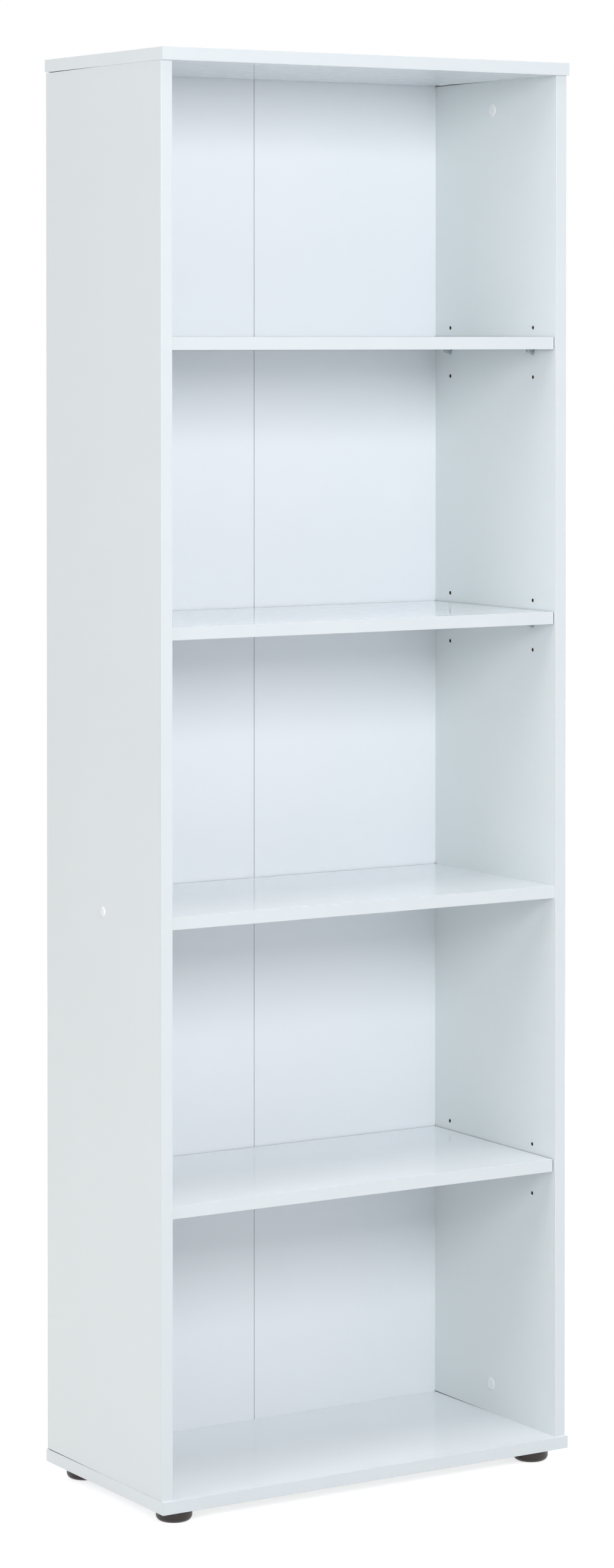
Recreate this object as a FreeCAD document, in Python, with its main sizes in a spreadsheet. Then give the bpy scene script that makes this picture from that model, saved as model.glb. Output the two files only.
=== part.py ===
import FreeCAD, Part
import math
import os
import re
import Sketcher

# White bookcase: two sides between a top and a bottom board, one fixed shelf, three shelves
# that rest on pins, a folded back in grooves, and four round feet.
# +X runs to the right, +Y to the back, +Z up. The origin is on the floor, at the middle of
# the footprint. Millimetres.

DRIVING_SIZES = [
    # boards and their edge bands
    ("board_thickness", 16.0),
    ("band_thickness", 1.0),
    ("band_rounding", 0.7),
    # case
    ("case_width", 600.0),
    ("side_depth", 292.0),
    ("side_height", 1752.0),
    ("end_overhang", 1.0),
    ("front_overhang", 5.0),
    ("rear_overhang", 2.0),
    ("rear_joint_gap", 1.0),
    # shelves, counted from the underside of the lowest one
    ("lowest_bay_height", 342.0),
    ("shelf_spacing", 353.0),
    ("shelf_setback", 4.0),
    ("shelf_end_gap", 1.0),
    ("shelf_rear_gap", 1.0),
    # back, in grooves of the sides and of the top and bottom boards
    ("back_thickness", 3.0),
    ("back_front_face", 279.0),
    ("groove_width", 3.2),
    ("groove_depth", 6.0),
    ("back_play", 0.5),
    ("fold_gap", 0.6),
    ("tape_width", 25.0),
    ("tape_thickness", 0.3),
    # holes for the shelf pins
    ("pin_row_front", 52.0),
    ("pin_row_spacing", 192.0),
    ("pin_hole_pitch", 32.0),
    ("pin_hole_diameter", 5.0),
    ("pin_hole_depth", 10.0),
    # shelf pin
    ("peg_diameter", 4.9),
    ("peg_length", 9.0),
    ("peg_chamfer", 0.5),
    ("collar_diameter", 7.0),
    ("collar_length", 1.2),
    ("bearing_height", 4.0),
    ("bearing_play", 0.25),
    ("tongue_length", 9.0),
    ("tongue_width", 6.4),
    ("tongue_tip", 3.0),
    ("tongue_rounding", 0.6),
    # dowels
    ("dowel_row_front", 40.0),
    ("dowel_row_spacing", 212.0),
    ("dowel_hole_diameter", 8.0),
    ("dowel_diameter", 7.9),
    ("dowel_length", 35.0),
    ("dowel_chamfer", 1.0),
    ("end_bore_depth", 25.0),
    ("dowel_end_depth", 24.0),
    ("face_bore_depth", 12.0),
    # cam locks
    ("cam_setback", 38.0),
    ("cam_hole_diameter", 15.0),
    ("cam_hole_depth", 12.6),
    ("cam_diameter", 14.8),
    ("cam_length", 12.0),
    ("cam_recess", 0.5),
    ("cam_slot_width", 7.4),
    ("cam_drive_length", 8.0),
    ("cam_drive_width", 1.6),
    ("cam_drive_depth", 2.0),
    ("cam_bolt_bore", 7.0),
    ("bolt_head_clearance", 0.5),
    ("bolt_head_diameter", 6.0),
    ("bolt_head_length", 3.0),
    ("bolt_neck_diameter", 3.8),
    ("bolt_neck_length", 5.0),
    ("bolt_shank_diameter", 6.0),
    ("bolt_thread_diameter", 4.9),
    ("bolt_thread_length", 11.0),
    ("bolt_hole_diameter", 5.0),
    ("cap_diameter", 17.0),
    ("cap_height", 1.2),
    ("cap_slope", 1.4),
    ("cap_rim", 0.4),
    ("cap_plug_diameter", 14.6),
    ("cap_plug_length", 0.45),
    # screws through the sides into the fixed shelf
    ("screw_hole_diameter", 7.0),
    ("screw_counterbore_diameter", 10.2),
    ("screw_counterbore_depth", 4.2),
    ("screw_pilot_diameter", 5.0),
    ("screw_pilot_depth", 36.0),
    ("screw_head_diameter", 10.0),
    ("screw_head_recess", 1.0),
    ("screw_head_length", 3.0),
    ("screw_shank_diameter", 6.9),
    ("screw_core_diameter", 4.9),
    ("screw_length", 50.0),
    ("screw_cap_diameter", 13.0),
    ("screw_cap_height", 1.5),
    ("screw_cap_slope", 1.6),
    ("screw_cap_rim", 0.4),
    ("screw_cap_plug_diameter", 9.8),
    ("screw_cap_plug_length", 0.9),
    # feet
    ("foot_diameter", 45.0),
    ("foot_height", 17.0),
    ("foot_rounding", 7.0),
    ("foot_inset_side", 35.0),
    ("foot_inset_front", 34.0),
    ("foot_inset_rear", 37.0),
    ("foot_hole_diameter", 4.5),
    ("foot_recess_diameter", 10.0),
    ("foot_recess_depth", 4.0),
    ("foot_screw_head_diameter", 8.5),
    ("foot_screw_head_length", 2.4),
    ("foot_screw_diameter", 3.4),
    ("foot_screw_length", 24.0),
    ("foot_pilot_diameter", 3.5),
    ("foot_pilot_depth", 12.0),
]

# Formulas in the words of the sheet.
BOARD_LENGTH = "(case_width + 2 * end_overhang)"
BOARD_DEPTH = "(side_depth + front_overhang + rear_overhang)"
INNER_WIDTH = "(case_width - 2 * board_thickness)"
SHELF_DEPTH = "(back_front_face - shelf_setback - shelf_rear_gap)"
SHELF_LENGTH = "(case_width - 2 * board_thickness - 2 * shelf_end_gap)"
BOARD_LEFT = "-(case_width / 2 + end_overhang)"
BOARD_FRONT = "-(side_depth + front_overhang + rear_overhang) / 2"
CASE_FRONT = "(front_overhang - rear_overhang - side_depth) / 2"
SIDE_BOTTOM = "(foot_height + board_thickness)"
TOP_UNDERSIDE = "(foot_height + board_thickness + side_height)"
CASE_MIDDLE = "(foot_height + board_thickness + side_height / 2)"
LOWEST_SHELF = "(foot_height + board_thickness + lowest_bay_height)"

# Each shelf's name and how many spacings it is above the lowest one.
FIXED_SHELF = ("fixed_shelf", 1)
ADJUSTABLE_SHELVES = [("lower_shelf", 0), ("middle_shelf", 2), ("upper_shelf", 3)]

SIDES = ["left", "right"]
WHOLE_TURN = 360.0
HALF_TURN = 180.0
EDGE_TOLERANCE = 0.001
GUESS = 10.0
MM3_IN_CM3 = 1000.0

document = FreeCAD.newDocument("bookcase")


def make_sheet():
    """Puts the driving sizes in a spreadsheet, one alias to a row."""
    sheet = document.addObject("Spreadsheet::Sheet", "sizes")
    for row, (alias, size) in enumerate(DRIVING_SIZES, start=1):
        sheet.set(f"A{row}", alias.replace("_", " "))
        sheet.set(f"B{row}", str(size))
        sheet.setAlias(f"B{row}", alias)
    document.recompute()


def bind(thing, prop, formula):
    """Ties a property to a formula whose words are the sheet's aliases."""
    thing.setExpression(prop, re.sub(r"[a-z_]+", lambda word: "sizes." + word.group(), formula))


def new_body(label, corner, turned=False):
    """A body whose own origin is at corner, three formulas."""
    body = document.addObject("PartDesign::Body", label)
    body.Label = label
    if turned:
        body.Placement.Rotation = FreeCAD.Rotation(FreeCAD.Vector(0, 0, 1), HALF_TURN)
    for axis, formula in zip("xyz", corner):
        bind(body, f"Placement.Base.{axis}", formula)
    return body


def origin_part(body, role):
    """The body's own origin plane or axis of that role, such as XY_Plane."""
    return [part for part in body.Origin.OriginFeatures if part.Role == role][0]


def new_sketch(body, name, plane, offset=("0", "0", "0")):
    """A sketch on an origin plane of the body, moved by offset in the sketch's own axes."""
    sketch = body.newObject("Sketcher::SketchObject", f"{body.Label}_{name}_sketch")
    sketch.AttachmentSupport = (origin_part(body, plane), [""])
    sketch.MapMode = "FlatFace"
    for axis, formula in zip("xyz", offset):
        if formula != "0":
            bind(sketch, f"AttachmentOffset.Base.{axis}", formula)
    return sketch


def fix_point(sketch, geometry, point, place):
    """Dimensions one point of a sketch from its origin. A formula may start with a minus sign."""
    for kind, formula, axis in zip(("DistanceX", "DistanceY"), place, (-2, -1)):
        if formula == "0":
            sketch.addConstraint(Sketcher.Constraint("PointOnObject", geometry, point, axis))
            continue
        ends = (-1, 1, geometry, point)
        if formula.startswith("-"):
            ends = (geometry, point, -1, 1)
        index = sketch.addConstraint(Sketcher.Constraint(kind, *ends, GUESS))
        sketch.renameConstraint(index, f"place_{index}")
        bind(sketch, f"Constraints.place_{index}", formula.lstrip("-"))


def draw_polygon(sketch, corners):
    """A closed outline with each corner dimensioned."""
    count = len(corners)
    spots = []
    for number in range(count):
        angle = 2 * math.pi * number / count
        spots.append(FreeCAD.Vector(GUESS * math.cos(angle), GUESS * math.sin(angle), 0))
    lines = []
    for number in range(count):
        line = Part.LineSegment(spots[number], spots[(number + 1) % count])
        lines.append(sketch.addGeometry(line, False))
    for number in range(count):
        following = lines[(number + 1) % count]
        sketch.addConstraint(Sketcher.Constraint("Coincident", lines[number], 2, following, 1))
    for line, place in zip(lines, corners):
        fix_point(sketch, line, 1, place)


def draw_rectangle(sketch, low, high):
    """A rectangle from its low corner to its high corner."""
    draw_polygon(sketch, [low, (high[0], low[1]), high, (low[0], high[1])])


def draw_circle(sketch, centre, diameter):
    """A circle with its centre and its diameter dimensioned."""
    circle = Part.Circle(FreeCAD.Vector(GUESS, GUESS, 0), FreeCAD.Vector(0, 0, 1), GUESS)
    index = sketch.addGeometry(circle, False)
    fix_point(sketch, index, 3, centre)
    size = sketch.addConstraint(Sketcher.Constraint("Diameter", index, GUESS))
    sketch.renameConstraint(size, f"diameter_{size}")
    bind(sketch, f"Constraints.diameter_{size}", diameter)


def extrude(body, kind, name, sketch, length, reverse=False):
    """A Pad or a Pocket of a sketch. A Pad goes along the sketch's normal, a Pocket against it."""
    feature = body.newObject(f"PartDesign::{kind}", f"{body.Label}_{name}")
    feature.Profile = sketch
    bind(feature, "Length", length)
    feature.Reversed = reverse
    return feature


def revolve(body, name, sketch, axis):
    """A whole turn of a sketch about its own H_Axis or V_Axis."""
    feature = body.newObject("PartDesign::Revolution", f"{body.Label}_{name}")
    feature.Profile = sketch
    feature.ReferenceAxis = (sketch, [axis])
    feature.Angle = WHOLE_TURN
    return feature


def dress_edges(body, kind, name, base, wanted, prop, size):
    """A Fillet or a Chamfer on those edges of base for which wanted(edge) holds."""
    document.recompute()
    names = []
    for number, edge in enumerate(base.Shape.Edges, start=1):
        if wanted(edge):
            names.append(f"Edge{number}")
    feature = body.newObject(f"PartDesign::{kind}", f"{body.Label}_{name}")
    feature.Base = (base, names)
    bind(feature, prop, size)
    return feature


def repeat(body, name, feature, steps):
    """Copies a feature: a step is a mirror plane, or an axis with a count and a whole length."""
    pattern = body.newObject("PartDesign::MultiTransform", f"{body.Label}_{name}")
    pattern.Originals = [feature]
    moves = []
    for number, step in enumerate(steps):
        role = origin_part(body, step[0])
        if len(step) == 1:
            move = body.newObject("PartDesign::Mirrored", f"{body.Label}_{name}_{number}")
            move.MirrorPlane = (role, [""])
        else:
            move = body.newObject("PartDesign::LinearPattern", f"{body.Label}_{name}_{number}")
            move.Direction = (role, [""])
            move.Occurrences = step[1]
            bind(move, "Length", step[2])
        moves.append(move)
    pattern.Transformations = moves
    body.Tip = pattern
    return pattern


def lies_at(edge, axis, place):
    """Whether the whole edge has that coordinate along an axis of the body, such as y = 0."""
    box = edge.BoundBox
    low, high = {"x": (box.XMin, box.XMax), "y": (box.YMin, box.YMax), "z": (box.ZMin, box.ZMax)}[axis]
    return abs(low - place) < EDGE_TOLERANCE and abs(high - place) < EDGE_TOLERANCE


def runs_along(edge, axis):
    """Whether the edge is a straight line along an axis of the body."""
    box = edge.BoundBox
    lengths = {"x": box.XLength, "y": box.YLength, "z": box.ZLength}
    return abs(lengths[axis] - edge.Length) < EDGE_TOLERANCE


def make_slab(label, corner, low, high, thickness):
    """A flat board, from low to high in its own XY plane."""
    body = new_body(label, corner)
    outline = new_sketch(body, "outline", "XY_Plane")
    draw_rectangle(outline, low, high)
    return body, extrude(body, "Pad", "slab", outline, thickness)


def make_band(label, corner, size, long_axis):
    """An edge band whose two long front edges are rounded."""
    body, strip = make_slab(label, corner, ("0", "0"), size[:2], size[2])

    def is_front_edge(edge):
        return lies_at(edge, "y", 0.0) and runs_along(edge, long_axis)

    dress_edges(body, "Fillet", "rounding", strip, is_front_edge, "Radius", "band_rounding")
    return body


# ---------------------------------------------------------------------------------------
# Sides


def drill_pin_holes(body, name, level, reverse):
    """Three holes above each other in each of two rows. The pins use the middle ones."""
    height = f"(lowest_bay_height + {level} * shelf_spacing - bearing_height)"
    sketch = new_sketch(body, f"{name}_holes", "YZ_Plane")
    for row in ("pin_row_front", "pin_row_front + pin_row_spacing"):
        draw_circle(sketch, (row, f"{height} - pin_hole_pitch"), "pin_hole_diameter")
    holes = extrude(body, "Pocket", f"{name}_holes", sketch, "pin_hole_depth", reverse)
    repeat(body, f"{name}_columns", holes, [("Z_Axis", 3, "2 * pin_hole_pitch")])


def drill_end_bores(body, end, sign):
    """Dowel bores and the cam bolt's bore in the lower or the upper end of a side."""
    upper = end == "upper"
    offset = ("0", "0", "side_height" if upper else "0")
    across = f"{sign}board_thickness / 2"
    dowels = new_sketch(body, f"{end}_dowel_bores", "XY_Plane", offset)
    for row in ("dowel_row_front", "dowel_row_front + dowel_row_spacing"):
        draw_circle(dowels, (across, row), "dowel_hole_diameter")
    extrude(body, "Pocket", f"{end}_dowel_bores", dowels, "end_bore_depth", not upper)
    bolt = new_sketch(body, f"{end}_bolt_bore", "XY_Plane", offset)
    draw_circle(bolt, (across, "side_depth / 2"), "cam_bolt_bore")
    extrude(body, "Pocket", f"{end}_bolt_bore", bolt, "cam_setback", not upper)


def make_side(side):
    """A side. Its own origin is the lower front corner of its inner face.

    Its ends meet the boards from the front to the cams. Behind those they slope, so that the
    joint opens by rear_joint_gap at the rear.
    """
    left = side == "left"
    face = "-case_width / 2 + board_thickness" if left else "case_width / 2 - board_thickness"
    inward = not left
    body = new_body(f"{side}_side_panel", (face, CASE_FRONT, SIDE_BOTTOM))

    outline = new_sketch(body, "outline", "YZ_Plane")
    draw_polygon(
        outline,
        [
            ("band_thickness", "0"),
            ("side_depth / 2", "0"),
            ("side_depth", "rear_joint_gap"),
            ("side_depth", "side_height - rear_joint_gap"),
            ("side_depth / 2", "side_height"),
            ("band_thickness", "side_height"),
        ],
    )
    extrude(body, "Pad", "board", outline, "board_thickness", left)

    groove = new_sketch(body, "groove", "YZ_Plane")
    near = "back_front_face - (groove_width - back_thickness) / 2"
    far = "back_front_face + (groove_width + back_thickness) / 2"
    draw_rectangle(groove, (near, "0"), (far, "side_height"))
    extrude(body, "Pocket", "groove", groove, "groove_depth", inward)

    for name, level in ADJUSTABLE_SHELVES:
        drill_pin_holes(body, name, level, inward)

    cams = new_sketch(body, "cam_holes", "YZ_Plane")
    for height in ("cam_setback", "side_height - cam_setback"):
        draw_circle(cams, ("side_depth / 2", height), "cam_hole_diameter")
    extrude(body, "Pocket", "cam_holes", cams, "cam_hole_depth", inward)
    for end in ("lower", "upper"):
        drill_end_bores(body, end, "-" if left else "")

    shelf_middle = f"lowest_bay_height + {FIXED_SHELF[1]} * shelf_spacing + board_thickness / 2"
    dowels = new_sketch(body, "shelf_dowel_holes", "YZ_Plane")
    for row in ("dowel_row_front", "dowel_row_front + dowel_row_spacing"):
        draw_circle(dowels, (row, shelf_middle), "dowel_hole_diameter")
    extrude(body, "Pocket", "shelf_dowel_holes", dowels, "face_bore_depth", inward)
    screw = new_sketch(body, "shelf_screw_hole", "YZ_Plane")
    draw_circle(screw, ("side_depth / 2", shelf_middle), "screw_hole_diameter")
    extrude(body, "Pocket", "shelf_screw_hole", screw, "board_thickness", inward)
    outer_face = "-board_thickness" if left else "board_thickness"
    head = new_sketch(body, "shelf_screw_head_hole", "YZ_Plane", ("0", "0", outer_face))
    draw_circle(head, ("side_depth / 2", shelf_middle), "screw_counterbore_diameter")
    extrude(body, "Pocket", "shelf_screw_head_hole", head, "screw_counterbore_depth", left)

    strip_left = "-case_width / 2" if left else face
    strip_size = ("board_thickness", "band_thickness", "side_height")
    make_band(f"{side}_side_front_band", (strip_left, CASE_FRONT, SIDE_BOTTOM), strip_size, "z")


# ---------------------------------------------------------------------------------------
# Top and bottom boards


def make_end_board(name, bottom, inner_face_up):
    """The top or the bottom board. Its own origin is its lower front left corner."""
    body, _ = make_slab(
        name,
        (BOARD_LEFT, BOARD_FRONT, bottom),
        ("band_thickness", "band_thickness"),
        (f"{BOARD_LENGTH} - band_thickness", BOARD_DEPTH),
        "board_thickness",
    )
    face = ("0", "0", "board_thickness" if inner_face_up else "0")
    cut_up = not inner_face_up
    left_middle = "end_overhang + board_thickness / 2"
    right_middle = f"{BOARD_LENGTH} - end_overhang - board_thickness / 2"

    dowels = new_sketch(body, "dowel_holes", "XY_Plane", face)
    for across in (left_middle, right_middle):
        for row in ("dowel_row_front", "dowel_row_front + dowel_row_spacing"):
            draw_circle(dowels, (across, f"front_overhang + {row}"), "dowel_hole_diameter")
    extrude(body, "Pocket", "dowel_holes", dowels, "face_bore_depth", cut_up)

    bolts = new_sketch(body, "bolt_holes", "XY_Plane", face)
    for across in (left_middle, right_middle):
        draw_circle(bolts, (across, "front_overhang + side_depth / 2"), "bolt_hole_diameter")
    extrude(body, "Pocket", "bolt_holes", bolts, "face_bore_depth", cut_up)

    groove = new_sketch(body, "groove", "XY_Plane", face)
    reach = "end_overhang + board_thickness - groove_depth"
    near = "front_overhang + back_front_face - (groove_width - back_thickness) / 2"
    far = "front_overhang + back_front_face + (groove_width + back_thickness) / 2"
    draw_rectangle(groove, (reach, near), (f"{BOARD_LENGTH} - ({reach})", far))
    extrude(body, "Pocket", "groove", groove, "groove_depth", cut_up)

    if inner_face_up:
        pilots = new_sketch(body, "foot_pilots", "XY_Plane")
        for across in ("foot_inset_side", f"{BOARD_LENGTH} - foot_inset_side"):
            for row in ("foot_inset_front", f"{BOARD_DEPTH} - foot_inset_rear"):
                draw_circle(pilots, (across, row), "foot_pilot_diameter")
        extrude(body, "Pocket", "foot_pilots", pilots, "foot_pilot_depth", True)

    strip_size = (BOARD_LENGTH, "band_thickness", "board_thickness")
    make_band(f"{name}_front_band", (BOARD_LEFT, BOARD_FRONT, bottom), strip_size, "x")
    make_end_bands(name, bottom)


def make_end_bands(name, bottom):
    """The bands on both ends of the top or bottom board, behind the front band."""
    body = new_body(f"{name}_end_bands", ("0", BOARD_FRONT, bottom))
    sketch = new_sketch(body, "outline", "XY_Plane", (f"{BOARD_LENGTH} / 2 - band_thickness", "0", "0"))
    draw_rectangle(sketch, ("0", "band_thickness"), ("band_thickness", BOARD_DEPTH))
    strip = extrude(body, "Pad", "strip", sketch, "board_thickness")
    repeat(body, "both_ends", strip, [("YZ_Plane",)])


# ---------------------------------------------------------------------------------------
# Shelves and their pins


def shelf_underside(level):
    """Height of a shelf's underside above the floor, as a formula."""
    return f"({LOWEST_SHELF} + {level} * shelf_spacing)"


def make_shelf(name, level, length):
    """A shelf and its front band. Its own origin is its lower front left corner."""
    corner = (f"-{length} / 2", f"{CASE_FRONT} + shelf_setback", shelf_underside(level))
    low = ("0", "band_thickness")
    body, _ = make_slab(name, corner, low, (length, SHELF_DEPTH), "board_thickness")
    make_band(f"{name}_front_band", corner, (length, "band_thickness", "board_thickness"), "x")
    return body


def drill_shelf_ends(body):
    """Dowel bores and the screw's pilot bore in both ends of the fixed shelf."""
    for end, offset, reverse in (("left", "0", True), ("right", INNER_WIDTH, False)):
        dowels = new_sketch(body, f"{end}_dowel_bores", "YZ_Plane", ("0", "0", offset))
        for row in ("dowel_row_front", "dowel_row_front + dowel_row_spacing"):
            draw_circle(dowels, (f"{row} - shelf_setback", "board_thickness / 2"), "dowel_hole_diameter")
        extrude(body, "Pocket", f"{end}_dowel_bores", dowels, "end_bore_depth", reverse)
        pilot = new_sketch(body, f"{end}_screw_bore", "YZ_Plane", ("0", "0", offset))
        draw_circle(pilot, ("side_depth / 2 - shelf_setback", "board_thickness / 2"), "screw_pilot_diameter")
        extrude(body, "Pocket", f"{end}_screw_bore", pilot, "screw_pilot_depth", reverse)


def make_pin(label, side, row, level):
    """A shelf pin: a peg in the side's hole, a collar on its face, a tongue under the shelf.

    Its own origin is on the hole's axis at the side's inner face, and +X points into the case.
    """
    face = "-case_width / 2 + board_thickness" if side == "left" else "case_width / 2 - board_thickness"
    height = f"{shelf_underside(level)} - bearing_height"
    body = new_body(label, (face, f"{CASE_FRONT} + {row}", height), side == "right")

    peg_sketch = new_sketch(body, "peg", "YZ_Plane")
    draw_circle(peg_sketch, ("0", "0"), "peg_diameter")
    extrude(body, "Pad", "peg", peg_sketch, "peg_length", True)
    collar_sketch = new_sketch(body, "collar", "YZ_Plane")
    draw_circle(collar_sketch, ("0", "0"), "collar_diameter")
    extrude(body, "Pad", "collar", collar_sketch, "collar_length")
    tongue_sketch = new_sketch(body, "tongue", "XZ_Plane", ("0", "0", "-tongue_width / 2"))
    draw_polygon(
        tongue_sketch,
        [
            ("collar_length", "-peg_diameter / 2"),
            ("tongue_length", "bearing_height - bearing_play - tongue_tip"),
            ("tongue_length", "bearing_height - bearing_play"),
            ("collar_length", "bearing_height - bearing_play"),
        ],
    )
    tongue = extrude(body, "Pad", "tongue", tongue_sketch, "tongue_width")

    def is_tip_edge(edge):
        return lies_at(edge, "x", tongue.Shape.BoundBox.XMax)

    rounded = dress_edges(body, "Fillet", "tongue_tip", tongue, is_tip_edge, "Radius", "tongue_rounding")

    def is_peg_end(edge):
        return lies_at(edge, "x", rounded.Shape.BoundBox.XMin)

    dress_edges(body, "Chamfer", "peg_end", rounded, is_peg_end, "Size", "peg_chamfer")


def make_shelves():
    """The fixed shelf, then the adjustable ones with four pins each."""
    drill_shelf_ends(make_shelf(*FIXED_SHELF, INNER_WIDTH))
    rows = {"front": "pin_row_front", "rear": "pin_row_front + pin_row_spacing"}
    for name, level in ADJUSTABLE_SHELVES:
        make_shelf(name, level, SHELF_LENGTH)
        for side in SIDES:
            for end, row in rows.items():
                make_pin(f"{name}_pin_{end}_{side}", side, row, level)


# ---------------------------------------------------------------------------------------
# Back


def make_back():
    """Two leaves that lie in the grooves, with a tape behind the fold between them."""
    half = "(case_width / 2 - board_thickness + groove_depth - back_play)"
    leaf = f"({half} - fold_gap / 2)"
    bottom = f"{SIDE_BOTTOM} - groove_depth + back_play"
    height = "(side_height + 2 * groove_depth - 2 * back_play)"
    front = f"{CASE_FRONT} + back_front_face"
    for side, left in (("left", f"-{half}"), ("right", "fold_gap / 2")):
        corner = (left, front, bottom)
        make_slab(f"back_panel_{side}", corner, ("0", "0"), (leaf, "back_thickness"), height)
    rear = f"{front} + back_thickness"
    tape_corner = ("-tape_width / 2", rear, SIDE_BOTTOM)
    make_slab("back_fold_tape", tape_corner, ("0", "0"), ("tape_width", "tape_thickness"), "side_height")


# ---------------------------------------------------------------------------------------
# Fasteners. Each group is one body of separate solids, mirrored about the middle of the case.


def revolved_group(label, corner, offset, outline, axis, steps):
    """Turned pieces: one outline, turned about axis, then copied."""
    body = new_body(label, corner)
    sketch = new_sketch(body, "outline", "XZ_Plane", offset)
    draw_polygon(sketch, outline)
    repeat(body, "copies", revolve(body, "turned", sketch, axis), steps)


def make_dowels():
    """Eight corner dowels that stand in the sides' ends, and four that lie in the fixed shelf's."""
    radius = "dowel_diameter / 2"
    profile = [
        ("0", "0"),
        (f"{radius} - dowel_chamfer", "0"),
        (radius, "dowel_chamfer"),
        (radius, "dowel_length - dowel_chamfer"),
        (f"{radius} - dowel_chamfer", "dowel_length"),
        ("0", "dowel_length"),
    ]
    rows = ("Y_Axis", 2, "dowel_row_spacing")
    front_row = f"{CASE_FRONT} + dowel_row_front"
    side_middle = f"{INNER_WIDTH} / 2 + board_thickness / 2"
    revolved_group(
        "corner_dowels",
        ("0", front_row, CASE_MIDDLE),
        (side_middle, "side_height / 2 - dowel_end_depth", "0"),
        profile,
        "V_Axis",
        [("YZ_Plane",), ("XY_Plane",), rows],
    )
    revolved_group(
        "fixed_shelf_dowels",
        ("0", front_row, f"{shelf_underside(FIXED_SHELF[1])} + board_thickness / 2"),
        (f"{INNER_WIDTH} / 2 - dowel_end_depth", "0", "0"),
        [(along, across) for across, along in profile],
        "H_Axis",
        [("YZ_Plane",), rows],
    )


def make_cams():
    """Cam locks in the sides' inner faces, with a slot for the bolt's head and one for a driver."""
    body = new_body("corner_cams", ("0", f"{CASE_FRONT} + side_depth / 2", CASE_MIDDLE))
    cam_height = "side_height / 2 - cam_setback"
    cam_face = f"{INNER_WIDTH} / 2 + cam_recess"
    sketch = new_sketch(body, "cam", "YZ_Plane", ("0", cam_height, cam_face))
    draw_circle(sketch, ("0", "0"), "cam_diameter")
    cam = extrude(body, "Pad", "cam", sketch, "cam_length")

    bolt_axis = f"{INNER_WIDTH} / 2 + board_thickness / 2"
    slot_sketch = new_sketch(body, "bolt_slot", "XY_Plane", (bolt_axis, "0", cam_height))
    draw_rectangle(
        slot_sketch,
        ("-cam_slot_width / 2", "-cam_slot_width / 2"),
        ("cam_slot_width / 2", "cam_slot_width / 2"),
    )
    slot = extrude(body, "Pocket", "bolt_slot", slot_sketch, "cam_diameter", True)

    drive_sketch = new_sketch(body, "drive", "YZ_Plane", ("0", cam_height, cam_face))
    draw_rectangle(
        drive_sketch,
        ("-cam_drive_length / 2", "-cam_drive_width / 2"),
        ("cam_drive_length / 2", "cam_drive_width / 2"),
    )
    drive = extrude(body, "Pocket", "drive", drive_sketch, "cam_drive_depth", True)

    copies = repeat(body, "copies", cam, [("YZ_Plane",), ("XY_Plane",)])
    copies.Originals = [cam, slot, drive]


def make_cam_bolts():
    """Bolts that stand in the sides' ends: head in the cam, thread in the top or bottom board."""
    head_top = "bolt_head_clearance + bolt_head_length"
    neck_top = f"{head_top} + bolt_neck_length"
    head = "bolt_head_diameter / 2"
    neck = "bolt_neck_diameter / 2"
    shank = "bolt_shank_diameter / 2"
    thread = "bolt_thread_diameter / 2"
    revolved_group(
        "corner_cam_bolts",
        ("0", f"{CASE_FRONT} + side_depth / 2", CASE_MIDDLE),
        (f"{INNER_WIDTH} / 2 + board_thickness / 2", "side_height / 2 - cam_setback", "0"),
        [
            ("0", "bolt_head_clearance"),
            (head, "bolt_head_clearance"),
            (head, head_top),
            (neck, head_top),
            (neck, neck_top),
            (shank, neck_top),
            (shank, "cam_setback"),
            (thread, "cam_setback"),
            (thread, "cam_setback + bolt_thread_length"),
            ("0", "cam_setback + bolt_thread_length"),
        ],
        "V_Axis",
        [("YZ_Plane",), ("XY_Plane",)],
    )


def make_cam_caps():
    """White caps that cover the cams: a flat face with a sloping rim, and a plug in the hole."""
    radius = "cap_diameter / 2"
    revolved_group(
        "cam_cover_caps",
        ("0", f"{CASE_FRONT} + side_depth / 2", CASE_MIDDLE),
        (f"{INNER_WIDTH} / 2", "side_height / 2 - cam_setback", "0"),
        [
            ("-cap_height", "0"),
            ("-cap_height", f"{radius} - cap_slope"),
            ("-cap_rim", radius),
            ("0", radius),
            ("0", "cap_plug_diameter / 2"),
            ("cap_plug_length", "cap_plug_diameter / 2"),
            ("cap_plug_length", "0"),
        ],
        "H_Axis",
        [("YZ_Plane",), ("XY_Plane",)],
    )


def make_shelf_screws():
    """Screws through the sides into the fixed shelf's ends, and the caps over their heads."""
    corner = (
        "0",
        f"{CASE_FRONT} + side_depth / 2",
        f"{shelf_underside(FIXED_SHELF[1])} + board_thickness / 2",
    )
    outer_face = ("case_width / 2", "0", "0")
    shank = "screw_shank_diameter / 2"
    core = "screw_core_diameter / 2"
    head_end = "-(screw_head_recess + screw_head_length)"
    revolved_group(
        "fixed_shelf_screws",
        corner,
        outer_face,
        [
            ("-screw_head_recess", "0"),
            ("-screw_head_recess", "screw_head_diameter / 2"),
            (head_end, shank),
            ("-board_thickness", shank),
            ("-board_thickness", core),
            ("-screw_length", core),
            ("-screw_length", "0"),
        ],
        "H_Axis",
        [("YZ_Plane",)],
    )
    radius = "screw_cap_diameter / 2"
    plug = "screw_cap_plug_diameter / 2"
    revolved_group(
        "fixed_shelf_screw_caps",
        corner,
        outer_face,
        [
            ("screw_cap_height", "0"),
            ("screw_cap_height", f"{radius} - screw_cap_slope"),
            ("screw_cap_rim", radius),
            ("0", radius),
            ("0", plug),
            ("-screw_cap_plug_length", plug),
            ("-screw_cap_plug_length", "0"),
        ],
        "H_Axis",
        [("YZ_Plane",)],
    )


# ---------------------------------------------------------------------------------------
# Feet


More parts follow.
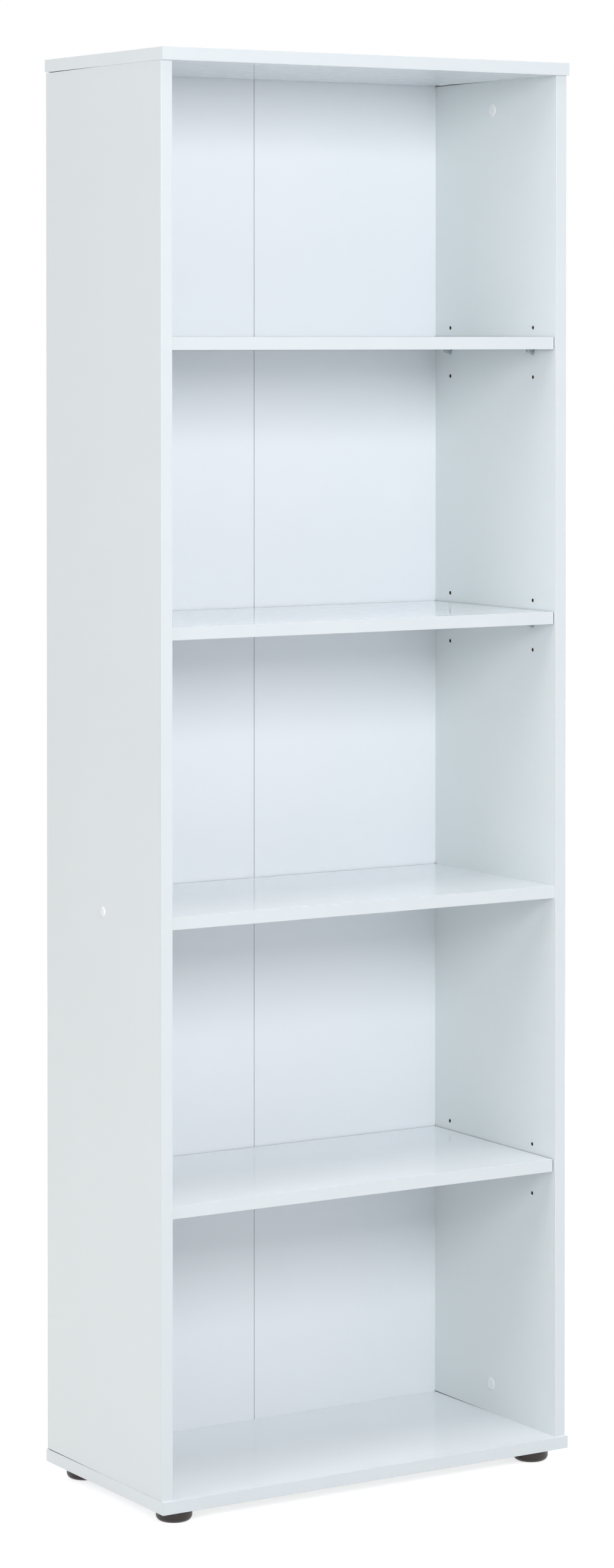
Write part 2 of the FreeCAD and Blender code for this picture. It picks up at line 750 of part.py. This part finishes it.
def make_foot(label, across, along):
    """A round foot with a rounded lower edge and a recessed screw hole."""
    body = new_body(label, (across, along, "0"))
    disc_sketch = new_sketch(body, "disc", "XY_Plane")
    draw_circle(disc_sketch, ("0", "0"), "foot_diameter")
    disc = extrude(body, "Pad", "disc", disc_sketch, "foot_height")

    def is_lower_edge(edge):
        return lies_at(edge, "z", 0.0)

    dress_edges(body, "Fillet", "rounding", disc, is_lower_edge, "Radius", "foot_rounding")
    hole_sketch = new_sketch(body, "screw_hole", "XY_Plane")
    draw_circle(hole_sketch, ("0", "0"), "foot_hole_diameter")
    extrude(body, "Pocket", "screw_hole", hole_sketch, "foot_height", True)
    recess_sketch = new_sketch(body, "head_recess", "XY_Plane")
    draw_circle(recess_sketch, ("0", "0"), "foot_recess_diameter")
    extrude(body, "Pocket", "head_recess", recess_sketch, "foot_recess_depth", True)


def make_feet():
    """Four feet, and the screws that hold them to the bottom board."""
    places_across = {
        "left": f"{BOARD_LEFT} + foot_inset_side",
        "right": f"{BOARD_LENGTH} / 2 - foot_inset_side",
    }
    places_along = {
        "front": f"{BOARD_FRONT} + foot_inset_front",
        "rear": f"{BOARD_DEPTH} / 2 - foot_inset_rear",
    }
    for end, along in places_along.items():
        for side, across in places_across.items():
            make_foot(f"foot_{end}_{side}", across, along)

    head = "foot_screw_head_diameter / 2"
    shank = "foot_screw_diameter / 2"
    revolved_group(
        "foot_screws",
        ("0", places_along["front"], "foot_recess_depth"),
        (f"{BOARD_LENGTH} / 2 - foot_inset_side", "0", "0"),
        [
            ("0", "-foot_screw_head_length"),
            (head, "-foot_screw_head_length"),
            (head, "0"),
            (shank, "0"),
            (shank, "foot_screw_length"),
            ("0", "foot_screw_length"),
        ],
        "V_Axis",
        [("YZ_Plane",), ("Y_Axis", 2, f"{BOARD_DEPTH} - foot_inset_front - foot_inset_rear")],
    )


# ---------------------------------------------------------------------------------------
# Checks and export


def check_model():
    """Stops if anything failed, if a sub-part is not valid, or if a cut removed nothing."""
    for thing in document.Objects:
        if "Invalid" in thing.State or "Error" in thing.State:
            raise RuntimeError(f"{thing.Name} failed: {thing.State}")
        if thing.TypeId == "PartDesign::Pocket":
            if thing.Shape.Volume >= thing.BaseFeature.Shape.Volume - EDGE_TOLERANCE:
                raise RuntimeError(f"{thing.Name} cuts nothing")
        if thing.TypeId == "PartDesign::Body":
            if thing.Shape.isNull() or not thing.Shape.isValid():
                raise RuntimeError(f"{thing.Label} has no valid shape")


def export_parts():
    """Writes each sub-part to its own STEP file."""
    os.makedirs("parts", exist_ok=True)
    for thing in document.Objects:
        if thing.TypeId == "PartDesign::Body":
            thing.Shape.exportStep(f"parts/{thing.Label}.step")
            volume = thing.Shape.Volume / MM3_IN_CM3
            print(f"{thing.Label}: {len(thing.Shape.Solids)} solids, {volume:.2f} cm3")


make_sheet()
for side_name in SIDES:
    make_side(side_name)
make_end_board("bottom_board", "foot_height", True)
make_end_board("top_board", TOP_UNDERSIDE, False)
make_shelves()
make_back()
make_dowels()
make_cams()
make_cam_bolts()
make_cam_caps()
make_shelf_screws()
make_feet()
document.recompute()
check_model()
export_parts()
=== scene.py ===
import math

import bpy
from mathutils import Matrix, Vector


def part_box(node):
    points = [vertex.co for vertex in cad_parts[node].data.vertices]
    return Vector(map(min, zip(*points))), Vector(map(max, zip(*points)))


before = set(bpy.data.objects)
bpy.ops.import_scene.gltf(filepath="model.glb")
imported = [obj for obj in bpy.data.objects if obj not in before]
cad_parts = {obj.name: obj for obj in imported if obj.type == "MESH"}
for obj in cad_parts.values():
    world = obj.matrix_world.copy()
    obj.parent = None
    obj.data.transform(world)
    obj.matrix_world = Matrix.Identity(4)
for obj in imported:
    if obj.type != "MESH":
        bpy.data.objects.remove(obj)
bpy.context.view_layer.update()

MM = 0.001

# The boards and the axis of each one's thickness.
BOARDS = {
    "left_side_panel": "X",
    "right_side_panel": "X",
    "top_board": "Z",
    "bottom_board": "Z",
    "fixed_shelf": "Z",
    "lower_shelf": "Z",
    "middle_shelf": "Z",
    "upper_shelf": "Z",
}
BACK_LEAVES = ["back_panel_left", "back_panel_right"]
SKIN = 0.2 * MM  # melamine face of a board, and lacquer of the back

# The lower and upper tone of the melamine, for upright and for level boards. The upright boards get a
# darker copy of the same melamine as painted shade, because their faces take less light.
MELAMINE_WHITES = {
    "X": ((0.784, 0.836, 0.848), (0.800, 0.852, 0.864)),
    "Z": ((0.830, 0.870, 0.900), (0.846, 0.886, 0.916)),
}

# Camera: front left of the case, at chest height, with the lens shifted down.
CAMERA_PLACE = (-2.861, -4.607, 1.449)
CAMERA_YAW = 31.82
CAMERA_PITCH = -1.10
CAMERA_LENS = 97.55
CAMERA_SHIFT = -0.2326

WHITE = (1.0, 1.0, 1.0)


# ---------------------------------------------------------------------------------------
# Materials


class Finish:
    """A material, its Principled shader, and short ways to add nodes to it."""

    def __init__(self, name, **fixed):
        self.material = bpy.data.materials.new(name)
        self.material.use_nodes = True
        self.tree = self.material.node_tree
        self.shader = self.tree.nodes["Principled BSDF"]
        for socket, value in fixed.items():
            self.shader.inputs[socket.replace("_", " ")].default_value = value
        self.place = self.add("TexCoord").outputs["Object"]

    def add(self, kind, inputs=None, **settings):
        """A node of that kind. Inputs are values or other nodes' outputs."""
        node = self.tree.nodes.new(f"ShaderNode{kind}")
        for key, value in settings.items():
            setattr(node, key, value)
        for key, value in (inputs or {}).items():
            if isinstance(value, bpy.types.NodeSocket):
                self.tree.links.new(value, node.inputs[key])
            else:
                node.inputs[key].default_value = value
        return node

    def to_shader(self, socket, output):
        self.tree.links.new(output, self.shader.inputs[socket])

    def stretched(self, scale):
        """Object coordinates, scaled along each axis."""
        return self.add("Mapping", {"Vector": self.place, "Scale": scale}).outputs["Vector"]

    def noise(self, scale, detail=2.0, rough=0.5, stretch=None):
        vector = self.stretched(stretch) if stretch else self.place
        inputs = {"Vector": vector, "Scale": scale, "Detail": detail, "Roughness": rough}
        return self.add("TexNoise", inputs).outputs["Fac"]

    def cells(self, scale, stretch=None, feature="F1"):
        vector = self.stretched(stretch) if stretch else self.place
        return self.add("TexVoronoi", {"Vector": vector, "Scale": scale}, feature=feature)

    def remap(self, value, low, high, to_low, to_high):
        """The value, moved from one range to another and kept inside it."""
        keys = {"Value": value, "From Min": low, "From Max": high}
        keys.update({"To Min": to_low, "To Max": to_high})
        return self.add("MapRange", keys).outputs["Result"]

    def ramp(self, value, stops):
        """A colour for each value, from stops of (place, colour)."""
        node = self.add("ValToRGB", {"Fac": value})
        elements = node.color_ramp.elements
        while len(elements) < len(stops):
            elements.new(0.5)
        for element, (place, colour) in zip(elements, stops):
            element.position = place
            element.color = (*colour, 1.0)
        return node.outputs["Color"]

    def mix(self, factor, first, second, kind="RGBA"):
        node = self.add("Mix", data_type=kind)
        sockets = {"RGBA": (6, 7, 2), "FLOAT": (2, 3, 0)}[kind]
        self.tree.links.new(factor, node.inputs[0])
        self.tree.links.new(first, node.inputs[sockets[0]])
        self.tree.links.new(second, node.inputs[sockets[1]])
        return node.outputs[sockets[2]]

    def math(self, operation, first, second):
        node = self.add("Math", operation=operation)
        for socket, value in zip(node.inputs, (first, second)):
            if isinstance(value, bpy.types.NodeSocket):
                self.tree.links.new(value, socket)
            else:
                socket.default_value = value
        return node.outputs["Value"]

    def bump(self, heights):
        """Bumps the surface with each (height, strength, distance), the coarsest first."""
        normal = None
        for height, strength, distance in heights:
            inputs = {"Height": height, "Strength": strength, "Distance": distance}
            if normal is not None:
                inputs["Normal"] = normal
            normal = self.add("Bump", inputs).outputs["Normal"]
        self.to_shader("Normal", normal)

    def openness(self):
        """1 on an open face, one half in a corner and near 0 in a hole or a narrow gap; the mask of the
        painted shade.
        """
        node = self.add("AmbientOcclusion", {"Distance": 6.0 * MM}, samples=12)
        return node.outputs["AO"]

    def inside(self, axis, low, high):
        """1 where the place along an axis lies between low and high, else 0."""
        split = self.add("SeparateXYZ", {"Vector": self.place})
        coordinate = split.outputs[axis]
        above = self.math("GREATER_THAN", coordinate, low)
        below = self.math("LESS_THAN", coordinate, high)
        return self.math("MULTIPLY", above, below)


def chipboard_colour(finish):
    """Pressed wood chips: flakes of mixed browns with dust between them."""
    flakes = finish.cells(620.0, (1.0, 1.0, 1.6))
    dust = finish.noise(1400.0, 4.0, 0.7)
    tone = finish.math("MULTIPLY_ADD", flakes.outputs["Color"], 0.75)
    finish.tree.links.new(dust, tone.node.inputs[2])
    return finish.ramp(
        finish.remap(tone, 0.35, 1.25, 0.0, 1.0),
        [
            (0.0, (0.100, 0.056, 0.026)),
            (0.4, (0.270, 0.168, 0.088)),
            (0.7, (0.400, 0.272, 0.158)),
            (1.0, (0.560, 0.420, 0.268)),
        ],
    )


def board_finish(name, axis, low, high):
    """White melamine on both faces of a board, and raw chipboard between them, with painted shade
    darkening holes, gaps and corners.
    """
    finish = Finish(f"{name}_melamine", IOR=1.5, Specular_IOR_Level=0.42)
    tone = finish.noise(5.0, 3.0, 0.55)
    low_tone, high_tone = MELAMINE_WHITES[axis]
    white = finish.ramp(tone, [(0.25, low_tone), (0.75, high_tone)])
    raw = chipboard_colour(finish)
    core = finish.inside(axis, low + SKIN, high - SKIN)
    # Painted shade: holes, narrow gaps and corners, found by ambient occlusion, are mixed towards a
    # near-black colour.
    openness = finish.openness()
    core_shade = finish.remap(openness, 0.40, 0.62, 1.0, 0.0)
    face_shade = finish.remap(openness, 0.12, 0.40, 1.0, 0.0)
    painted_shade = finish.mix(core, face_shade, core_shade, "FLOAT")
    unshaded_colour = finish.mix(core, white, raw)
    # The near-black colour of the painted shade in holes, gaps and corners.
    dark = finish.ramp(finish.noise(300.0), [(0.3, (0.012, 0.009, 0.007)), (0.7, (0.030, 0.022, 0.016))])
    finish.to_shader("Base Color", finish.mix(painted_shade, unshaded_colour, dark))
    sheen = finish.remap(finish.noise(60.0, 3.0, 0.6), 0.3, 0.7, 0.07, 0.11)
    dull = finish.remap(finish.noise(900.0), 0.3, 0.7, 0.80, 0.95)
    rough_places = finish.math("MAXIMUM", core, painted_shade)
    finish.to_shader("Roughness", finish.mix(rough_places, sheen, dull, "FLOAT"))
    pearl = finish.noise(1100.0, 2.0, 0.5)
    grit = finish.cells(900.0).outputs["Distance"]
    relief = finish.mix(core, finish.math("MULTIPLY", pearl, 0.03), grit, "FLOAT")
    waves = finish.noise(7.0, 1.0, 0.4)
    finish.bump([(waves, 0.06, 0.5 * MM), (relief, 0.35, 0.25 * MM)])
    return finish.material


def band_finish(name, darkest, lightest):
    """Edge band: plain white plastic, not as glossy as the boards' faces."""
    finish = Finish(name, IOR=1.5, Specular_IOR_Level=0.45)
    tone = finish.noise(14.0, 2.0, 0.5)
    colour = finish.ramp(tone, [(0.3, darkest), (0.7, lightest)])
    finish.to_shader("Base Color", colour)
    finish.to_shader("Roughness", finish.remap(finish.noise(220.0, 3.0, 0.6), 0.3, 0.7, 0.28, 0.33))
    ripple = finish.noise(70.0, 1.0, 0.4)
    grain = finish.noise(1600.0, 2.0, 0.5)
    finish.bump([(ripple, 0.04, 0.2 * MM), (grain, 0.08, 0.05 * MM)])
    return finish.material


def back_finish(front):
    """Hardboard: white lacquer in front, brown with the press's screen marks behind, and painted shade
    darkening holes, gaps and corners.
    """
    finish = Finish("lacquered_hardboard", IOR=1.48, Specular_IOR_Level=0.35)
    tone = finish.noise(4.0, 3.0, 0.5)
    white = finish.ramp(tone, [(0.25, (0.820, 0.855, 0.899)), (0.75, (0.834, 0.869, 0.913))])
    fibre = finish.noise(260.0, 6.0, 0.75, (1.0, 1.0, 0.6))
    specks = finish.cells(900.0, (1.0, 1.0, 0.5)).outputs["Color"]
    brown_tone = finish.math("MULTIPLY_ADD", specks, 0.25)
    finish.tree.links.new(fibre, brown_tone.node.inputs[2])
    brown = finish.ramp(
        brown_tone,
        [
            (0.35, (0.125, 0.066, 0.032)),
            (0.62, (0.215, 0.124, 0.064)),
            (0.9, (0.330, 0.210, 0.120)),
        ],
    )
    raw = finish.inside("Y", front + SKIN, front + 1.0)
    unshaded_colour = finish.mix(raw, white, brown)
    # Painted shade: holes, gaps and corners, found by ambient occlusion, are mixed towards a dark
    # colour.
    painted_shade = finish.remap(finish.openness(), 0.12, 0.42, 1.0, 0.0)
    dark = finish.ramp(specks, [(0.2, (0.030, 0.024, 0.022)), (0.8, (0.060, 0.050, 0.046))])
    finish.to_shader("Base Color", finish.mix(painted_shade, unshaded_colour, dark))
    lacquer = finish.remap(finish.noise(40.0, 3.0, 0.6), 0.3, 0.7, 0.42, 0.50)
    dull = finish.remap(fibre, 0.3, 0.7, 0.65, 0.85)
    finish.to_shader("Roughness", finish.mix(raw, lacquer, dull, "FLOAT"))
    across = finish.add("TexWave", {"Vector": finish.place, "Scale": 95.0}, bands_direction="X")
    along = finish.add("TexWave", {"Vector": finish.place, "Scale": 95.0}, bands_direction="Z")
    screen = finish.math("MULTIPLY", across.outputs["Fac"], along.outputs["Fac"])
    smooth = finish.math("MULTIPLY", finish.noise(700.0, 2.0, 0.5), 0.12)
    waves = finish.noise(6.0, 1.0, 0.4)
    finish.bump([(waves, 0.25, 1.0 * MM), (finish.mix(raw, smooth, screen, "FLOAT"), 0.5, 0.3 * MM)])
    return finish.material


def tape_finish():
    """The white tape behind the fold: thin woven strip with a fine thread pattern."""
    finish = Finish("fold_tape_cloth", IOR=1.45, Specular_IOR_Level=0.3)
    warp = finish.add("TexWave", {"Vector": finish.place, "Scale": 260.0}, bands_direction="X")
    weft = finish.add("TexWave", {"Vector": finish.place, "Scale": 260.0}, bands_direction="Z")
    weave = finish.math("MAXIMUM", warp.outputs["Fac"], weft.outputs["Fac"])
    worn = finish.math("MULTIPLY", weave, finish.noise(30.0, 4.0, 0.6))
    colour = finish.ramp(worn, [(0.1, (0.66, 0.66, 0.62)), (0.7, (0.80, 0.80, 0.77))])
    finish.to_shader("Base Color", colour)
    finish.to_shader("Roughness", finish.remap(worn, 0.1, 0.7, 0.75, 0.6))
    finish.bump([(weave, 0.6, 0.1 * MM)])
    return finish.material


def metal_finish(name, dark, light, low, high, scale):
    """A plated or cast metal with fine mottling. Low and high are roughnesses."""
    finish = Finish(name, Metallic=1.0)
    mottle = finish.noise(scale, 4.0, 0.6)
    finish.to_shader("Base Color", finish.ramp(mottle, [(0.3, dark), (0.7, light)]))
    finish.to_shader("Roughness", finish.remap(mottle, 0.3, 0.7, low, high))
    finish.bump([(finish.noise(scale * 3.0, 3.0, 0.6), 0.25, 0.05 * MM)])
    return finish.material


def foot_finish():
    """Brown-black moulded plastic with a fine matt grain and scuffed low edges."""
    finish = Finish("foot_plastic", IOR=1.5, Specular_IOR_Level=0.5)
    mottle = finish.noise(90.0, 3.0, 0.6)
    colour = finish.ramp(mottle, [(0.3, (0.020, 0.012, 0.011)), (0.7, (0.030, 0.019, 0.017))])
    height = finish.add("SeparateXYZ", {"Vector": finish.place}).outputs["Z"]
    low_down = finish.remap(height, 0.0, 3.0 * MM, 1.0, 0.0)
    scuffs = finish.math("MULTIPLY", low_down, finish.noise(300.0, 4.0, 0.7))
    dusty = finish.ramp(mottle, [(0.3, (0.060, 0.045, 0.040)), (0.7, (0.075, 0.058, 0.052))])
    finish.to_shader("Base Color", finish.mix(scuffs, colour, dusty))
    finish.to_shader("Roughness", finish.remap(finish.noise(500.0, 3.0, 0.6), 0.3, 0.7, 0.32, 0.46))
    grain = finish.cells(1500.0).outputs["Distance"]
    finish.bump([(grain, 0.3, 0.08 * MM)])
    return finish.material


def cap_finish():
    """White moulded caps, glossier than the boards."""
    finish = Finish("cap_plastic", IOR=1.5, Specular_IOR_Level=0.5)
    tone = finish.noise(160.0, 2.0, 0.5)
    colour = finish.ramp(tone, [(0.3, (0.880, 0.905, 0.910)), (0.7, (0.895, 0.920, 0.925))])
    finish.to_shader("Base Color", colour)
    finish.to_shader("Roughness", finish.remap(finish.noise(500.0), 0.3, 0.7, 0.18, 0.26))
    finish.bump([(finish.noise(900.0, 2.0, 0.5), 0.12, 0.05 * MM)])
    return finish.material


def beech_finish():
    """Fluted beech: pale grain with short dark flecks."""
    finish = Finish("beech", IOR=1.45, Specular_IOR_Level=0.3)
    grain = finish.noise(400.0, 5.0, 0.65, (1.0, 1.0, 0.12))
    colours = [(0.3, (0.42, 0.25, 0.12)), (0.5, (0.56, 0.37, 0.20)), (0.75, (0.66, 0.47, 0.28))]
    finish.to_shader("Base Color", finish.ramp(grain, colours))
    finish.to_shader("Roughness", finish.remap(grain, 0.3, 0.7, 0.55, 0.7))
    flutes = finish.add("TexWave", {"Vector": finish.place, "Scale": 300.0}, bands_direction="X")
    finish.bump([(flutes.outputs["Fac"], 0.5, 0.3 * MM)])
    return finish.material


def dress(node, material):
    """Gives a CAD node one material in every slot."""
    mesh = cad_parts[node].data
    mesh.materials.clear()
    mesh.materials.append(material)


def dress_all():
    """A finish for every CAD node."""
    # The front bands are a darker copy of the end bands' white plastic: painted shade that tones down
    # the front light on them.
    shaded_front_band = band_finish("front_edge_band", (0.684, 0.732, 0.766), (0.696, 0.744, 0.778))
    end_band = band_finish("end_edge_band", (0.800, 0.850, 0.870), (0.812, 0.862, 0.882))
    nickel = metal_finish("pin_nickel", (0.42, 0.47, 0.51), (0.58, 0.63, 0.67), 0.22, 0.36, 400.0)
    steel = metal_finish("zinc_plated_steel", (0.50, 0.50, 0.48), (0.68, 0.69, 0.70), 0.28, 0.45, 300.0)
    zinc = metal_finish("cast_zinc", (0.38, 0.39, 0.40), (0.52, 0.53, 0.54), 0.42, 0.6, 500.0)
    by_slot = {
        "front_edging": shaded_front_band,
        "end_edging": end_band,
        "back_hardboard": back_finish(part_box(BACK_LEAVES[0])[0].y),
        "fold_tape": tape_finish(),
        "shelf_pin_metal": nickel,
        "foot_plastic": foot_finish(),
        "fastener_steel": steel,
        "cam_zinc": zinc,
        "cap_plastic": cap_finish(),
        "beech_dowel": beech_finish(),
    }
    slot_of = node_slots()
    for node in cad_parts:
        if node in BOARDS:
            axis = BOARDS[node]
            low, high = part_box(node)
            spot = "XYZ".index(axis)
            dress(node, board_finish(node, axis, low[spot], high[spot]))
        else:
            dress(node, by_slot[slot_of[node]])


def node_slots():
    """Each CAD node's material slot, from the words in its name."""
    slots = {}
    words = [
        ("end_bands", "end_edging"),
        ("band", "front_edging"),
        ("back_panel", "back_hardboard"),
        ("tape", "fold_tape"),
        ("_pin_", "shelf_pin_metal"),
        ("foot_screws", "fastener_steel"),
        ("foot_", "foot_plastic"),
        ("caps", "cap_plastic"),
        ("dowels", "beech_dowel"),
        ("bolts", "fastener_steel"),
        ("screws", "fastener_steel"),
        ("cams", "cam_zinc"),
    ]
    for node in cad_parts:
        for word, slot in words:
            if word in node:
                slots[node] = slot
                break
    return slots


# ---------------------------------------------------------------------------------------
# Worn edges: every board and the two end bands have their sharp edges broken


def break_edges(node, width):
    """Rounds the sharp edges of a CAD node by modifiers, which leave its mesh alone."""
    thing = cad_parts[node]
    weld = thing.modifiers.new("weld", "WELD")
    weld.merge_threshold = 0.01 * MM
    bevel = thing.modifiers.new("edges", "BEVEL")
    bevel.width = width
    bevel.segments = 2
    bevel.limit_method = "ANGLE"
    bevel.angle_limit = math.radians(50.0)
    bevel.harden_normals = False


# ---------------------------------------------------------------------------------------
# Stage


def shown_directly(tree):
    """1 for what the camera sees, straight or in metal and glass, and 0 for light on the object."""
    path = tree.nodes.new("ShaderNodeLightPath")
    total = path.outputs["Is Camera Ray"]
    for kind in ("Is Glossy Ray", "Is Transmission Ray"):
        node = tree.nodes.new("ShaderNodeMath")
        node.operation = "MAXIMUM"
        tree.links.new(total, node.inputs[0])
        tree.links.new(path.outputs[kind], node.inputs[1])
        total = node.outputs["Value"]
    return total


def make_floor():
    """A pale floor that shows white, with the object's soft shadow on it."""
    half = 40.0
    mesh = bpy.data.meshes.new("floor")
    corners = [(-half, -half, 0), (half, -half, 0), (half, half, 0), (-half, half, 0)]
    mesh.from_pydata(corners, [], [(0, 1, 2, 3)])
    floor = bpy.data.objects.new("floor", mesh)
    bpy.context.scene.collection.objects.link(floor)

    material = bpy.data.materials.new("floor_paper")
    material.use_nodes = True
    tree = material.node_tree
    tree.nodes.clear()
    seen = shown_directly(tree)
    paper = tree.nodes.new("ShaderNodeBsdfDiffuse")
    paper.inputs["Color"].default_value = (0.80, 0.80, 0.80, 1.0)
    seen_paper = tree.nodes.new("ShaderNodeBsdfDiffuse")
    seen_paper.inputs["Color"].default_value = (0.70, 0.70, 0.70, 1.0)
    glow = tree.nodes.new("ShaderNodeEmission")
    glow.inputs["Strength"].default_value = 0.72
    both = tree.nodes.new("ShaderNodeAddShader")
    tree.links.new(seen_paper.outputs[0], both.inputs[0])
    tree.links.new(glow.outputs[0], both.inputs[1])
    choice = tree.nodes.new("ShaderNodeMixShader")
    tree.links.new(seen, choice.inputs[0])
    tree.links.new(paper.outputs[0], choice.inputs[1])
    tree.links.new(both.outputs[0], choice.inputs[2])
    output = tree.nodes.new("ShaderNodeOutputMaterial")
    tree.links.new(choice.outputs[0], output.inputs["Surface"])
    mesh.materials.append(material)


def make_world():
    """Soft light from all round, behind a white background."""
    world = bpy.data.worlds.new("studio")
    bpy.context.scene.world = world
    world.use_nodes = True
    tree = world.node_tree
    tree.nodes.clear()
    around = tree.nodes.new("ShaderNodeBackground")
    around.inputs["Color"].default_value = (1.0, 1.0, 1.0, 1.0)
    around.inputs["Strength"].default_value = WORLD_LIGHT
    backdrop = tree.nodes.new("ShaderNodeBackground")
    backdrop.inputs["Color"].default_value = (1.0, 1.0, 1.0, 1.0)
    backdrop.inputs["Strength"].default_value = 1.0
    choice = tree.nodes.new("ShaderNodeMixShader")
    tree.links.new(shown_directly(tree), choice.inputs[0])
    tree.links.new(around.outputs[0], choice.inputs[1])
    tree.links.new(backdrop.outputs[0], choice.inputs[2])
    output = tree.nodes.new("ShaderNodeOutputWorld")
    tree.links.new(choice.outputs[0], output.inputs["Surface"])


WORLD_LIGHT = 0.46

# Each softbox: name, place, point it faces, width, height, power in watts.
SOFTBOXES = [
    ("front", (-0.93, -3.48, 2.3), (0.0, 0.0, 1.0), 1.2, 1.2, 68.0),
    ("left", (-3.55, -0.63, 2.6), (0.0, 0.0, 1.1), 1.2, 1.2, 28.0),
    ("above", (0.0, -2.4, 10.0), (0.0, 0.0, 0.9), 3.7, 3.7, 216.0),
    ("behind", (1.8, 3.1, 2.2), (0.0, 0.0, 1.0), 1.2, 1.2, 48.0),
]


def make_softbox(name, place, aim, width, height, power):
    lamp = bpy.data.lights.new(name, "AREA")
    lamp.shape = "RECTANGLE"
    lamp.size = width
    lamp.size_y = height
    lamp.energy = power
    softbox = bpy.data.objects.new(name, lamp)
    softbox.location = place
    direction = Vector(aim) - Vector(place)
    softbox.rotation_euler = direction.to_track_quat("-Z", "Y").to_euler()
    softbox.visible_camera = False
    bpy.context.scene.collection.objects.link(softbox)


def make_camera():
    """The camera. The shift keeps the upright edges nearly upright."""
    data = bpy.data.cameras.new("camera")
    data.lens = CAMERA_LENS
    data.shift_y = CAMERA_SHIFT
    data.clip_end = 100.0
    camera = bpy.data.objects.new("camera", data)
    camera.location = CAMERA_PLACE
    camera.rotation_euler = (math.radians(90.0 + CAMERA_PITCH), 0.0, math.radians(-CAMERA_YAW))
    bpy.context.scene.collection.objects.link(camera)
    bpy.context.scene.camera = camera


make_camera()
dress_all()
for board in BOARDS:
    break_edges(board, 0.3 * MM)
for band in ("top_board_end_bands", "bottom_board_end_bands"):
    break_edges(band, 0.5 * MM)
make_floor()
make_world()
for softbox in SOFTBOXES:
    make_softbox(*softbox)
bpy.context.scene.view_settings.view_transform = "Standard"
